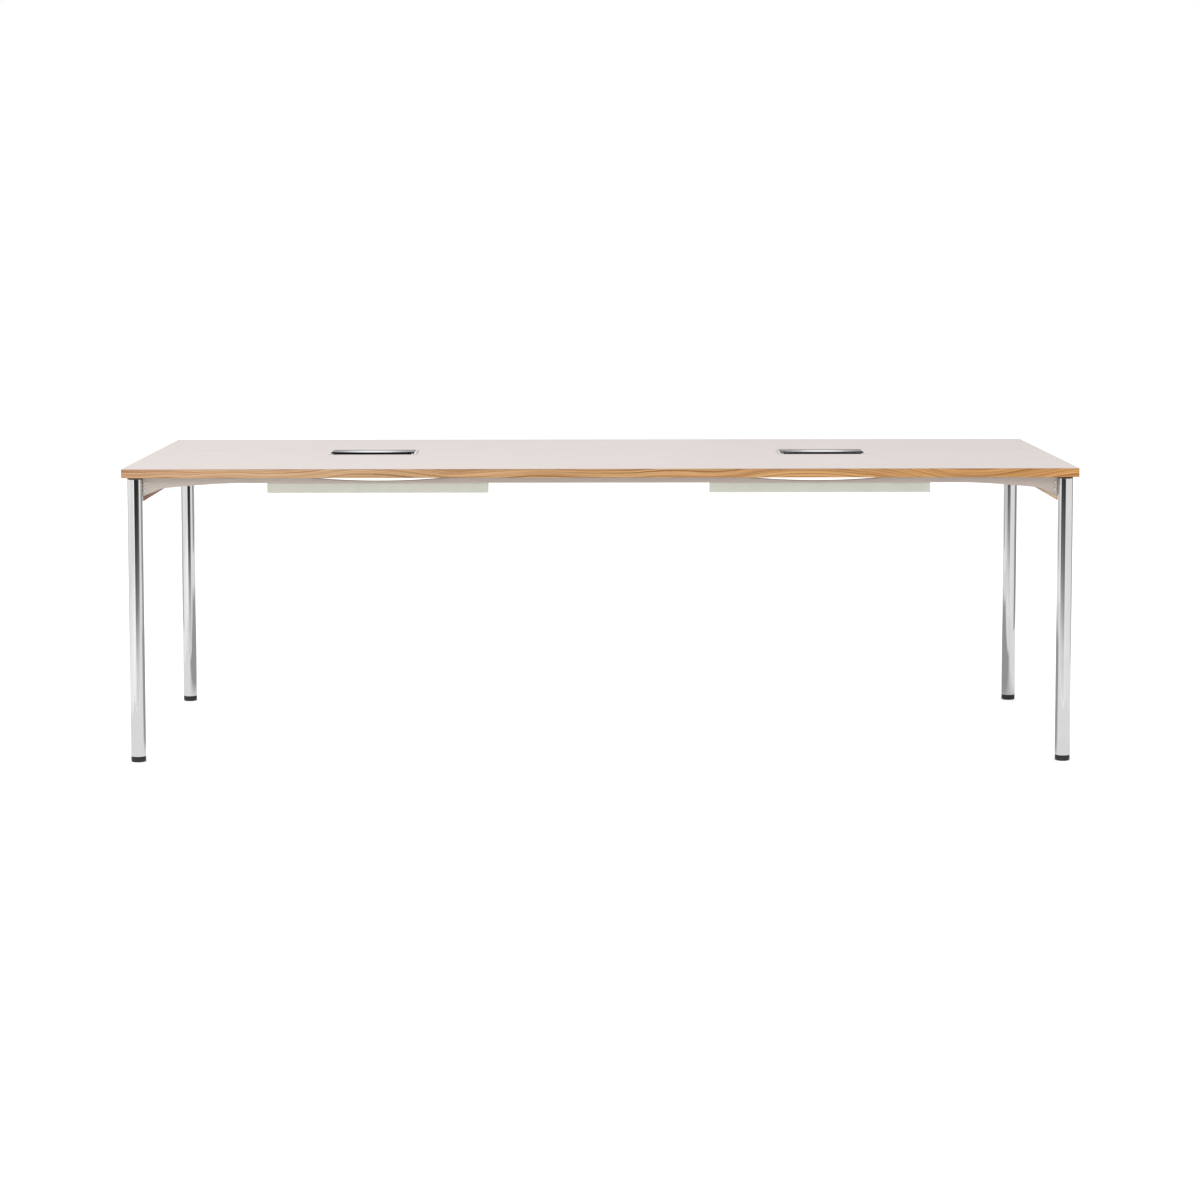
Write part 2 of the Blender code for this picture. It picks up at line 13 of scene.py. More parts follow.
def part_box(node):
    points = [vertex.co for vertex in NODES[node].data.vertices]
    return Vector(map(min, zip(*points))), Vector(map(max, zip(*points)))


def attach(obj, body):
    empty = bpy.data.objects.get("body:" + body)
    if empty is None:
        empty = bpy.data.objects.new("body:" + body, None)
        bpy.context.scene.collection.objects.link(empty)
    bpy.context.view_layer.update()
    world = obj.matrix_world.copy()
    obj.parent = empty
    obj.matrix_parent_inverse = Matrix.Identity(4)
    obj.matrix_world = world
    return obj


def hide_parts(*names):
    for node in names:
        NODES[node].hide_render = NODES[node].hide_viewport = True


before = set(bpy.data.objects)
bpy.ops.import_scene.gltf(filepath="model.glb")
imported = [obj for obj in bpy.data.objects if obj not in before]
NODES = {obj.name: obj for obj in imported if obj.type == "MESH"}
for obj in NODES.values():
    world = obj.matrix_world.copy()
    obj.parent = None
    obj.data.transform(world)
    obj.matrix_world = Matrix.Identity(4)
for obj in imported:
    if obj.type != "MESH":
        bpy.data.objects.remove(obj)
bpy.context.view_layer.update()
scene = bpy.context.scene

# ------------------------------------------------------------------ levels and sizes, read from the frame
TOP_LO, TOP_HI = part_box("top_laminate")
Z_TOP = TOP_HI.z
Z_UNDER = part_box("underside_laminate")[0].z
GAP = 0.0003
Z_HANG = Z_UNDER - GAP
CORNERS = (("front_left", -1, -1), ("front_right", 1, -1), ("rear_left", -1, 1), ("rear_right", 1, 1))


# ================================================================== materials
class Look:
    """A Principled material with short calls for its node tree."""

    def __init__(self, name, colour=None, **sockets):
        self.material = bpy.data.materials.new(name)
        self.material.use_nodes = True
        self.tree = self.material.node_tree
        self.shader = self.tree.nodes["Principled BSDF"]
        if colour is not None:
            self.shader.inputs["Base Color"].default_value = (*colour, 1.0)
            self.material.diffuse_color = (*colour, 1.0)
        for key, value in sockets.items():
            self.shader.inputs[key.replace("_", " ").title().replace("Ior", "IOR")].default_value = value

    def node(self, kind, sets=None, **inputs):
        made = self.tree.nodes.new(kind)
        for key, value in (sets or {}).items():
            setattr(made, key, value)
        for key, value in inputs.items():
            socket = made.inputs[int(key[1:])] if key[0] == "i" and key[1:].isdigit() else made.inputs[key]
            if isinstance(value, bpy.types.NodeSocket):
                self.tree.links.new(value, socket)
            else:
                socket.default_value = value
        return made

    def place(self):
        return self.node("ShaderNodeTexCoord").outputs["Object"]

    def mapped(self, vector, scale):
        return self.node("ShaderNodeMapping", Vector=vector, Scale=scale).outputs[0]

    def noise(self, vector, scale, detail=2.0, roughness=0.5, distortion=0.0):
        made = self.node(
            "ShaderNodeTexNoise", Vector=vector, Scale=scale, Detail=detail, Roughness=roughness, Distortion=distortion
        )
        return made.outputs[0]

    def math(self, how, a, b=0.0, clamp=False):
        return self.node("ShaderNodeMath", {"operation": how, "use_clamp": clamp}, i0=a, i1=b).outputs[0]

    def spread(self, value, low, high, to_low, to_high):
        made = self.node("ShaderNodeMapRange", Value=value)
        for key, number in (("From Min", low), ("From Max", high), ("To Min", to_low), ("To Max", to_high)):
            made.inputs[key].default_value = number
        return made.outputs[0]

    def ramp(self, value, stops, how="LINEAR"):
        made = self.node("ShaderNodeValToRGB", Fac=value)
        band = made.color_ramp
        band.interpolation = how
        while len(band.elements) < len(stops):
            band.elements.new(0.5)
        for element, (at, colour) in zip(band.elements, stops):
            element.position = at
            element.color = (*colour, 1.0) if len(colour) == 3 else colour
        return made.outputs[0]

    def mix(self, factor, a, b, how="MIX"):
        made = self.node("ShaderNodeMix", {"data_type": "RGBA", "blend_type": how})
        for socket, value in ((made.inputs[0], factor), (made.inputs[6], a), (made.inputs[7], b)):
            if isinstance(value, bpy.types.NodeSocket):
                self.tree.links.new(value, socket)
            else:
                socket.default_value = value if not isinstance(value, tuple) else (*value, 1.0)
        return made.outputs[2]

    def set(self, socket, value):
        self.tree.links.new(value, self.shader.inputs[socket])

    def bump(self, height, strength, distance):
        made = self.node("ShaderNodeBump", Height=height, Strength=strength, Distance=distance)
        self.set("Normal", made.outputs[0])


def laminate(name, light, dark, rough=(0.36, 0.44), speck=1300.0, lower=None):
    """Satin decorative laminate: a barely mottled tone, a fine speckle and a pebbled press texture, and with lower
    given, painted shade towards a board's lower edge.
    """
    look = Look(name, light, specular_ior_level=0.32)
    at = look.place()
    fine = look.noise(at, speck, 3.0, 0.6)
    slow = look.noise(at, 5.0, 2.0, 0.5)
    tone = look.ramp(fine, [(0.36, dark), (0.64, light)])
    worn = look.ramp(slow, [(0.30, (0.985, 0.983, 0.982)), (0.70, (1.0, 1.0, 1.0))])
    tone = look.mix(1.0, tone, worn, "MULTIPLY")
    if lower is not None:
        # Painted shade on a board hanging under the top: a little darker towards its lower edge, where the floor lights
        # it more.
        height = look.node("ShaderNodeSeparateXYZ", Vector=at).outputs[2]
        shade_fall = look.spread(height, Z_UNDER - 0.010, Z_UNDER - 0.046, 0.0, 1.0)
        tone = look.mix(1.0, tone, look.ramp(shade_fall, [(0.0, (1.0, 1.0, 1.0)), (1.0, (lower, lower, lower))]), "MULTIPLY")
    look.set("Base Color", tone)
    smear = look.noise(at, 14.0, 3.0, 0.55)
    look.set("Roughness", look.spread(smear, 0.3, 0.7, *rough))
    look.bump(look.noise(at, 2200.0, 1.0, 0.5), 0.06, 0.0002)
    return look.material


def wood(name, along, light, middle, dark, wave=0.030, rings=190.0, rough=(0.42, 0.56), painted_light=None):
    """Lacquered wood with its grain along X or Y: drifting growth rings, fibre streaks and short dark pores."""
    look = Look(name, middle)
    at = look.place()
    if along == "Y":
        split = look.node("ShaderNodeSeparateXYZ", Vector=at)
        at = look.node(
            "ShaderNodeCombineXYZ", X=split.outputs[1], Y=split.outputs[0], Z=split.outputs[2]
        ).outputs[0]
    # Growth rings cut at a slant: each line wanders up and down the board, and the lines follow each other.
    parts = look.node("ShaderNodeSeparateXYZ", Vector=at)
    sweep = look.noise(look.mapped(at, (1.9, 2.0, 2.0)), 1.0, 1.0, 0.4)
    sway = look.noise(look.mapped(at, (7.5, 10.0, 16.0)), 1.0, 2.0, 0.5)
    level = look.math("ADD", parts.outputs[2], look.math("MULTIPLY", parts.outputs[1], 0.45))
    level = look.math("ADD", level, look.math("MULTIPLY", sweep, wave * 5.0))
    level = look.math("ADD", level, look.math("MULTIPLY", sway, wave * 0.34))
    along_line = look.node(
        "ShaderNodeCombineXYZ", X=look.math("MULTIPLY", parts.outputs[0], 1.3), Z=look.math("MULTIPLY", level, rings)
    ).outputs[0]
    streak = look.noise(along_line, 1.0, 4.0, 0.62, 0.2)
    fine_line = look.node(
        "ShaderNodeCombineXYZ", X=look.math("MULTIPLY", parts.outputs[0], 3.1), Z=look.math("MULTIPLY", level, rings * 1.35)
    ).outputs[0]
    line = look.noise(fine_line, 1.0, 2.0, 0.5)
    fibre = look.noise(look.mapped(at, (16.0, 1500.0, 1500.0)), 1.0, 3.0, 0.6)
    pores = look.noise(look.mapped(at, (95.0, 3600.0, 3600.0)), 1.0, 2.0, 0.5)
    figure = look.math(
        "ADD", look.math("MULTIPLY", streak, 0.86), look.math("MULTIPLY", fibre, 0.22)
    )
    tone = look.ramp(figure, [(0.43, light), (0.53, middle), (0.65, dark)])
    late = look.ramp(line, [(0.54, (1.0, 1.0, 1.0)), (0.61, (0.80, 0.71, 0.60)), (0.70, (0.62, 0.50, 0.37))])
    tone = look.mix(1.0, tone, late, "MULTIPLY")
    pored = look.ramp(pores, [(0.56, (1.0, 1.0, 1.0)), (0.70, (0.70, 0.60, 0.50))])
    tone = look.mix(1.0, tone, pored, "MULTIPLY")
    if painted_light is not None:
        # Painted light and shade along the long boards: darker at the left end, palest left of the middle, warmer and
        # yellower towards the right end.
        run = look.spread(parts.outputs[0], -1.2, 1.2, 0.0, 1.0)
        tone = look.mix(1.0, tone, look.ramp(run, painted_light), "MULTIPLY")
    look.set("Base Color", tone)
    look.set("Roughness", look.spread(figure, 0.3, 1.0, *rough))
    look.bump(look.math("SUBTRACT", fibre, look.math("MULTIPLY", pores, 0.8)), 0.10, 0.0003)
    return look.material


def plywood(name, across):
    """Sawn edge of a plywood board: thin plies across X or Y, alternately long and end grain."""
    look = Look(name, (0.50, 0.36, 0.22))
    at = look.place()
    split = look.node("ShaderNodeSeparateXYZ", Vector=at)
    depth = split.outputs[0 if across == "X" else 1]
    wobble = look.noise(look.mapped(at, (25.0, 25.0, 25.0)), 1.0, 2.0)
    ply = look.math("SINE", look.math("MULTIPLY", look.math("ADD", depth, look.math("MULTIPLY", wobble, 0.0006)), 2400.0))
    grit = look.noise(at, 1600.0, 3.0, 0.6)
    tone = look.ramp(
        look.math("ADD", look.spread(ply, -0.5, 0.5, 0.15, 0.75), look.math("MULTIPLY", grit, 0.35)),
        [(0.25, (0.30, 0.19, 0.10)), (0.60, (0.52, 0.37, 0.23)), (0.95, (0.66, 0.50, 0.34))],
    )
    look.set("Base Color", tone)
    look.set("Roughness", look.spread(grit, 0.3, 0.7, 0.60, 0.80))
    look.bump(grit, 0.25, 0.0003)
    return look.material


def metal(name, low, high, rough, scale=60.0, brushed=None, bump=0.0):
    """Bare metal: slightly uneven tone and gloss, with a fine brushed direction where one is given."""
    look = Look(name, high, metallic=1.0)
    at = look.place()
    uneven = look.noise(at, scale, 4.0, 0.6)
    look.set("Base Color", look.ramp(uneven, [(0.30, low), (0.70, high)]))
    if brushed is None:
        look.set("Roughness", look.spread(uneven, 0.3, 0.7, *rough))
        if bump:
            look.bump(look.noise(at, scale * 9.0, 2.0), bump, 0.0002)
    else:
        lines = look.noise(look.mapped(at, brushed), 1.0, 3.0, 0.65)
        look.set("Roughness", look.spread(lines, 0.3, 0.7, *rough))
        look.bump(lines, bump, 0.0001)
    return look.material


def moulded(name, low, high, rough, scale=900.0, bump=0.15, gloss=0.5):
    """Moulded plastic or rubber with a fine spark-eroded grain."""
    look = Look(name, high, specular_ior_level=gloss)
    at = look.place()
    grain = look.noise(at, scale, 3.0, 0.6)
    dust = look.noise(at, 45.0, 3.0, 0.55)
    look.set("Base Color", look.ramp(dust, [(0.32, low), (0.70, high)]))
    look.set("Roughness", look.spread(grain, 0.3, 0.7, *rough))
    look.bump(grain, bump, 0.0003)
    return look.material


def powder_coat(name, low, high):
    """Powder-coated sheet steel: orange-peel ripple and a slightly uneven tone."""
    look = Look(name, high)
    at = look.place()
    peel = look.noise(at, 520.0, 2.0, 0.5)
    tone = look.noise(at, 18.0, 3.0, 0.5)
    look.set("Base Color", look.ramp(tone, [(0.30, low), (0.70, high)]))
    look.set("Roughness", look.spread(peel, 0.3, 0.7, 0.40, 0.52))
    look.bump(peel, 0.12, 0.0004)
    return look.material


def particle_board(name):
    """Raw chipboard: flat chips of several browns."""
    look = Look(name, (0.45, 0.32, 0.20))
    at = look.place()
    chips = look.node("ShaderNodeTexVoronoi", Vector=look.mapped(at, (260.0, 260.0, 700.0)), Scale=1.0)
    look.set(
        "Base Color",
        look.ramp(chips.outputs["Color"], [(0.1, (0.30, 0.20, 0.11)), (0.5, (0.46, 0.33, 0.20)), (0.9, (0.60, 0.46, 0.30))]),
    )
    look.set("Roughness", look.spread(chips.outputs[0], 0.0, 0.6, 0.75, 0.92))
    look.bump(chips.outputs[0], 0.4, 0.0005)
    return look.material


# Painted light and shade along the long oak boards, from the left end (0) to the right end (1).
OAK_PAINTED_LIGHT = [(0.0, (0.80, 0.72, 0.66)), (0.21, (1.0, 1.0, 0.97)), (0.5, (0.93, 0.82, 0.60)), (1.0, (1.02, 0.80, 0.41))]
LAMINATE = laminate("laminate_offwhite", (0.655, 0.587, 0.557), (0.635, 0.568, 0.539))
BACKING = laminate("laminate_backing", (0.560, 0.520, 0.495), (0.515, 0.478, 0.452), (0.46, 0.56))
# The aprons carry painted shade, darker towards their lower edges.
APRON = laminate("laminate_apron", (0.560, 0.495, 0.450), (0.525, 0.462, 0.418), (0.40, 0.50), lower=0.84)
OAK_X = wood("oak_long", "X", (0.670, 0.455, 0.280), (0.535, 0.335, 0.185), (0.330, 0.172, 0.076), rings=260.0, painted_light=OAK_PAINTED_LIGHT)
OAK_Y = wood("oak_short", "Y", (0.610, 0.400, 0.230), (0.500, 0.300, 0.150), (0.320, 0.165, 0.070), rings=260.0)
VENEER_X = wood("veneer_long", "X", (0.640, 0.480, 0.340), (0.560, 0.400, 0.270), (0.420, 0.280, 0.175), 0.022, 120.0)
# Lit and shaded copies of one veneer: painted shade for the left rail's inner face, painted light for the right rail's.
VENEER_PAINTED_SHADE = wood("veneer_painted_shade", "Y", (0.325, 0.160, 0.078), (0.265, 0.122, 0.058), (0.190, 0.082, 0.037), 0.022, 120.0)
VENEER_PAINTED_LIGHT = wood("veneer_painted_light", "Y", (0.800, 0.620, 0.435), (0.710, 0.525, 0.350), (0.560, 0.390, 0.240), 0.022, 120.0)
PLY_X = plywood("ply_edge_long", "Y")
PLY_Y = plywood("ply_edge_short", "X")
CORE = particle_board("chipboard")
CHROME = metal("chrome_bright", (0.665, 0.665, 0.668), (0.705, 0.705, 0.703), (0.030, 0.050), 9.0)
LID = metal("lid_polished", (0.72, 0.72, 0.72), (0.80, 0.80, 0.79), (0.045, 0.080), 30.0, (28.0, 2600.0, 2600.0), 0.02)
FRAME = metal("frame_polished", (0.58, 0.58, 0.58), (0.68, 0.68, 0.67), (0.09, 0.14), 30.0, (28.0, 1900.0, 1900.0), 0.03)
CHEEK = metal("cheek_satin", (0.74, 0.74, 0.74), (0.84, 0.84, 0.83), (0.26, 0.36), 30.0, (1900.0, 28.0, 1900.0), 0.03)
ZINC = metal("zinc_plated", (0.50, 0.50, 0.49), (0.66, 0.66, 0.67), (0.28, 0.42), 220.0, bump=0.10)
SCREW = metal("screw_nickel", (0.84, 0.83, 0.82), (0.93, 0.92, 0.91), (0.30, 0.42), 300.0, bump=0.04)
BLACK = moulded("plastic_black", (0.010, 0.010, 0.010), (0.022, 0.022, 0.022), (0.42, 0.56), gloss=0.42)
RUBBER = moulded("rubber_black", (0.005, 0.005, 0.005), (0.010, 0.010, 0.010), (0.80, 0.92), 1400.0, 0.20, 0.05)
BRISTLE = moulded("bristle_black", (0.003, 0.003, 0.003), (0.007, 0.007, 0.007), (0.85, 0.95), 2400.0, 0.05, 0.0)
PAINT = powder_coat("paint_greygreen", (0.815, 0.828, 0.735), (0.850, 0.862, 0.768))


# ================================================================== mesh helpers
def piece(name, bm, looks, body="table", replaces=None, angle=35.0):
    """One visible piece from a bmesh in the row frame, riding on a body."""
    bmesh.ops.recalc_face_normals(bm, faces=bm.faces[:])
    mesh = bpy.data.meshes.new(name)
    bm.to_mesh(mesh)
    bm.free()
    for look in looks if isinstance(looks, (list, tuple)) else [looks]:
        mesh.materials.append(look)
    mesh.shade_smooth()
    mesh.set_sharp_from_angle(angle=math.radians(angle))
    made = bpy.data.objects.new(name, mesh)
    scene.collection.objects.link(made)
    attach(made, body)
    if replaces:
        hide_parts(*([replaces] if isinstance(replaces, str) else replaces))
    return made


def carve(target, cutters, angle=35.0):
    """Takes closed shapes out of a piece and keeps the result as its mesh."""
    bmesh.ops.recalc_face_normals(cutters, faces=cutters.faces[:])
    mesh = bpy.data.meshes.new("cutter")
    cutters.to_mesh(mesh)
    cutters.free()
    tool = bpy.data.objects.new("cutter", mesh)
    scene.collection.objects.link(tool)
    change = target.modifiers.new("carve", "BOOLEAN")
    change.operation = "DIFFERENCE"
    change.solver = "EXACT"
    change.object = tool
    bpy.context.view_layer.update()
    result = bpy.data.meshes.new_from_object(target.evaluated_get(bpy.context.evaluated_depsgraph_get()))
    target.modifiers.clear()
    result.name = target.name
    target.data = result
    bpy.data.objects.remove(tool, do_unlink=True)
    result.shade_smooth()
    result.set_sharp_from_angle(angle=math.radians(angle))


def loft(bm, rings, caps=True, wrap=False):
    """Skins a row of equal rings of points. Returns the faces, one list for each step."""
    rows = [[bm.verts.new(p) for p in ring] for ring in rings]
    count = len(rows[0])
    made = []
    pairs = list(zip(rows, rows[1:])) + ([(rows[-1], rows[0])] if wrap else [])
    for a, b in pairs:
        made.append([bm.faces.new((a[i], a[(i + 1) % count], b[(i + 1) % count], b[i])) for i in range(count)])
    if caps and not wrap:
        made.append([bm.faces.new(rows[0]), bm.faces.new(rows[-1])])
    return made


def lathe(bm, profile, turns, centre=(0.0, 0.0), ring=False):
    """(radius, height) points turned about a vertical line. A profile of a solid starts and ends on the axis."""
    cx, cy = centre
    rows = []
    for r, z in profile:
        if r < 1e-7:
            rows.append([bm.verts.new((cx, cy, z))])
        else:
            rows.append([
                bm.verts.new((cx + r * math.cos(2 * math.pi * i / turns), cy + r * math.sin(2 * math.pi * i / turns), z))
                for i in range(turns)
            ])
    pairs = list(zip(rows, rows[1:])) + ([(rows[-1], rows[0])] if ring else [])
    for a, b in pairs:
        for i in range(turns):
            j = (i + 1) % turns
            if len(a) == 1:
                bm.faces.new((a[0], b[j], b[i]))
            elif len(b) == 1:
                bm.faces.new((a[i], a[j], b[0]))
            else:
                bm.faces.new((a[i], a[j], b[j], b[i]))
    return bm


def arc(cx, cy, r, start, end, steps):
    return [
        (cx + r * math.cos(math.radians(start + (end - start) * i / steps)),
         cy + r * math.sin(math.radians(start + (end - start) * i / steps)))
        for i in range(steps + 1)
    ]


def round_box(u0, u1, v0, v1, r, steps=3):
    """Outline of a rectangle with rounded corners, from its lower left, clockwise: left, top, right, bottom."""
    return (
        arc(u0 + r, v0 + r, r, 270, 180, steps) + arc(u0 + r, v1 - r, r, 180, 90, steps)
        + arc(u1 - r, v1 - r, r, 90, 0, steps) + arc(u1 - r, v0 + r, r, 0, -90, steps)
    )


def bar(bm, low, high, r=0.0008, axis=0):
    """A box with all its edges rounded off, long along one axis."""
    u, v = [i for i in range(3) if i != axis]
    rings = []
    for t, inset in ((0.0, r), (0.3 * r, 0.3 * r), (r, 0.0)):
        rings.append((low[axis] + t, inset))
    rings += [(high[axis] - t, inset) for t, inset in ((r, 0.0), (0.3 * r, 0.3 * r), (0.0, r))]
    rows = []
    for at, inset in rings:
        row = []
        for a, b in round_box(low[u] + inset, high[u] - inset, low[v] + inset, high[v] - inset, r):
            p = [0.0, 0.0, 0.0]
            p[axis], p[u], p[v] = at, a, b
            row.append(p)
        rows.append(row)
    return loft(bm, rows)


def turned_to(bm, place, way):
    """Turns a bmesh made about +Z so that +Z points along way, and moves it to place."""
    turn = Vector(way).normalized().to_track_quat("Z", "Y").to_matrix().to_4x4()
    bmesh.ops.transform(bm, matrix=Matrix.Translation(place) @ turn, verts=bm.verts[:])
    return bm


def screw(bm_into, place, way, r=0.0029, high=0.0018, shank=None):
    """A domed socket screw head standing on a surface, with a hexagon recess, and its shank if it has one."""
    bm = bmesh.new()
    turns = 24
    hexagon = [0.0011 * (r / 0.0029) / math.cos(math.radians((15 * i) % 60 - 30)) for i in range(turns)]
    rows = []
    if shank:
        tip, sr = shank
        rows += [[(0, 0, -tip)], [(sr - 0.0006,) * turns, -tip], [(sr,) * turns, -tip + 0.0009], [(sr,) * turns, 0.0]]
    else:
        rows += [[(0, 0, 0.0)]]
    rows += [
        [(r - 0.0002,) * turns, 0.0], [(r,) * turns, 0.0002], [(r * 0.985,) * turns, 0.0006],
        [(r * 0.91,) * turns, high * 0.62], [(r * 0.76,) * turns, high * 0.85], [(r * 0.58,) * turns, high * 0.96],
        [hexagon, high], [[h * 0.97 for h in hexagon], high * 0.42], [(0, 0, high * 0.36)],
    ]
    made = []
    for row in rows:
        if len(row) == 1:
            made.append([bm.verts.new(row[0])])
        else:
            radii, z = row
            made.append([
                bm.verts.new((q * math.cos(2 * math.pi * i / turns), q * math.sin(2 * math.pi * i / turns), z))
                for i, q in enumerate(radii)
            ])
    for a, b in zip(made, made[1:]):
        for i in range(turns):
            j = (i + 1) % turns
            if len(a) == 1:
                bm.faces.new((a[0], b[j], b[i]))
            elif len(b) == 1:
                bm.faces.new((a[i], a[j], b[0]))
            else:
                bm.faces.new((a[i], a[j], b[j], b[i]))
    turned_to(bm, place, way)
    bmesh.ops.recalc_face_normals(bm, faces=bm.faces[:])
    temp = bpy.data.meshes.new("part")
    bm.to_mesh(temp)
    bm.free()
    bm_into.from_mesh(temp)
    bpy.data.meshes.remove(temp)


def eased(node, look, width, slot=None, segments=2, angle=30.0):
    """A CAD node kept as it is, with its sharp edges broken and a material of its own."""
    obj = NODES[node]
    obj.data.materials.clear()
    obj.data.materials.append(look)
    weld = obj.modifiers.new("weld", "WELD")
    weld.merge_threshold = 0.00002
    soft = obj.modifiers.new("soft_edges", "BEVEL")
    soft.width = width
    soft.segments = segments
    soft.limit_method = "ANGLE"
    soft.angle_limit = math.radians(angle)
    soft.harden_normals = False
    return obj


# ================================================================== top
eased("top_laminate", LAMINATE, 0.00025)
eased("top_core", CORE, 0.0003)
eased("underside_laminate", BACKING, 0.0002)
for name in ("edge_front", "edge_rear"):
    eased(name, OAK_X, 0.0005, segments=3)
for name in ("edge_left", "edge_right"):
    eased(name, OAK_Y, 0.0005, segments=3)


# ================================================================== aprons and rails
NOTCH_X, NOTCH_SHIFT, NOTCH_HALF, NOTCH_D = 0.5506, -0.0069, 0.195, 0.0102
LEG_X, LEG_Y, LEG_R = 1.170, 0.470, 0.0190
CURVE_START = LEG_X - 0.0175
APRON_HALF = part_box("apron_front")[1].x
BOLT_Z = 0.0238


def apron_depth(s):
    """Depth below the top at a distance s from the curve's start: a slow curve, blended into a straight splay."""
    slow = 0.0155 + 0.0185 * max(0.0, 1.0 - s / 0.240) ** 1.5
    splay = 0.0492 - 0.424 * s
    return (slow + splay + math.sqrt((slow - splay) ** 2 + 0.0016 ** 2)) / 2 if s < 0.12 else slow


def leg_hollows(spots):
    """Round bars where the legs stand, to hollow the ends of the boards between them."""
    bm = bmesh.new()
    for x, y in spots:
        bmesh.ops.create_cone(
            bm, cap_ends=True, segments=96, radius1=LEG_R + 0.0005, radius2=LEG_R + 0.0005, depth=0.2,
            matrix=Matrix.Translation((x, y, Z_UNDER - 0.05)),
        )
    return bm


def bolt_grooves(spots):
    """Round bars where the diagonal leg bolts run, to groove the inner corners of the boards."""
    bm = bmesh.new()
    for x, y in spots:
        way = Vector((-x / abs(x), -y / abs(y), 0)).normalized()
        bmesh.ops.create_cone(
            bm, cap_ends=True, segments=28, radius1=0.0046, radius2=0.0046, depth=0.0495,
            matrix=Matrix.Translation(Vector((x, y, Z_UNDER - BOLT_Z)) + way * 0.02475)
            @ way.to_track_quat("Z", "Y").to_matrix().to_4x4(),
        )
    return bm


def notch(x):
    u = (abs(x - NOTCH_SHIFT) - NOTCH_X) / NOTCH_HALF
    return NOTCH_D * max(0.0, 1.0 - u * u)


stations = {round(CURVE_START - 0.240 * (i / 60) ** 1.3, 6) for i in range(3, 61)} | {APRON_HALF, APRON_HALF - 0.0004}
stations |= {0.0, 0.09, 0.18, 0.27, 0.80, 0.88}
stations = {-x for x in stations} | stations
for middle in (NOTCH_SHIFT - NOTCH_X, NOTCH_SHIFT + NOTCH_X):
    stations |= {round(middle - NOTCH_HALF + 2 * NOTCH_HALF * i / 40, 6) for i in range(41)}
stations = sorted(stations)
for name, sy in (("apron_front", -1), ("apron_rear", 1)):
    lo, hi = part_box(name)
    bm = bmesh.new()
    rings = []
    for x in stations:
        edge = round_box(lo.y, hi.y, Z_UNDER - apron_depth(CURVE_START - abs(x)), Z_HANG - notch(x), 0.0007)
        rings.append([(x, y, z) for y, z in edge])
    steps = loft(bm, rings)
    # Points 0..3 turn the lower left corner, 4..7 the upper left, and so on: 3 is the left face, 11 the right one.
    outer, inner = (range(0, 7), range(9, 14)) if sy < 0 else (range(8, 15), range(1, 6))
    for step in steps[:-1]:
        for i, face in enumerate(step):
            face.material_index = 0 if i in outer else 1 if i in inner else 2
    for face in steps[-1]:
        face.material_index = 0
    made = piece(name + "_board", bm, [APRON, VENEER_X, PLY_X], replaces=name)
    holes = bmesh.new()
    for sx in (-1, 1):
        for level in ("upper", "lower"):
            a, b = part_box("apron_screw_%s_%s_%s" % ("front" if sy < 0 else "rear", "left" if sx < 0 else "right", level))
            mid = (a + b) / 2
            bmesh.ops.create_cone(
                holes, cap_ends=True, segments=20, radius1=0.0021, radius2=0.0021, depth=0.06,
                matrix=Matrix.Translation((mid.x, (lo.y + hi.y) / 2, mid.z)) @ Matrix.Rotation(math.pi / 2, 4, "X"),
            )
    carve(made, holes)
    carve(made, bolt_grooves([(-LEG_X, sy * LEG_Y), (LEG_X, sy * LEG_Y)]))

for name, sx in (("rail_left", -1), ("rail_right", 1)):
    lo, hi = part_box(name)
    bm = bmesh.new()
    for step in bar(bm, lo, hi, 0.0004, axis=1):
        for face in step:
            n = face.normal
            face.normal_update()
            out = face.normal.x * sx
            face.material_index = 0 if abs(out) > 0.7 and (face.calc_center_median().x - (lo.x + hi.x) / 2) * sx > 0 else (
                1 if abs(out) > 0.7 else 2)
    # The rails' inner faces take painted shade on the left and painted light on the right.
    made = piece(
        name + "_board", bm, [APRON, VENEER_PAINTED_SHADE if sx < 0 else VENEER_PAINTED_LIGHT, PLY_Y], replaces=name
    )
    carve(made, leg_hollows([(sx * LEG_X, -LEG_Y), (sx * LEG_X, LEG_Y)]))
    carve(made, bolt_grooves([(sx * LEG_X, -LEG_Y), (sx * LEG_X, LEG_Y)]))


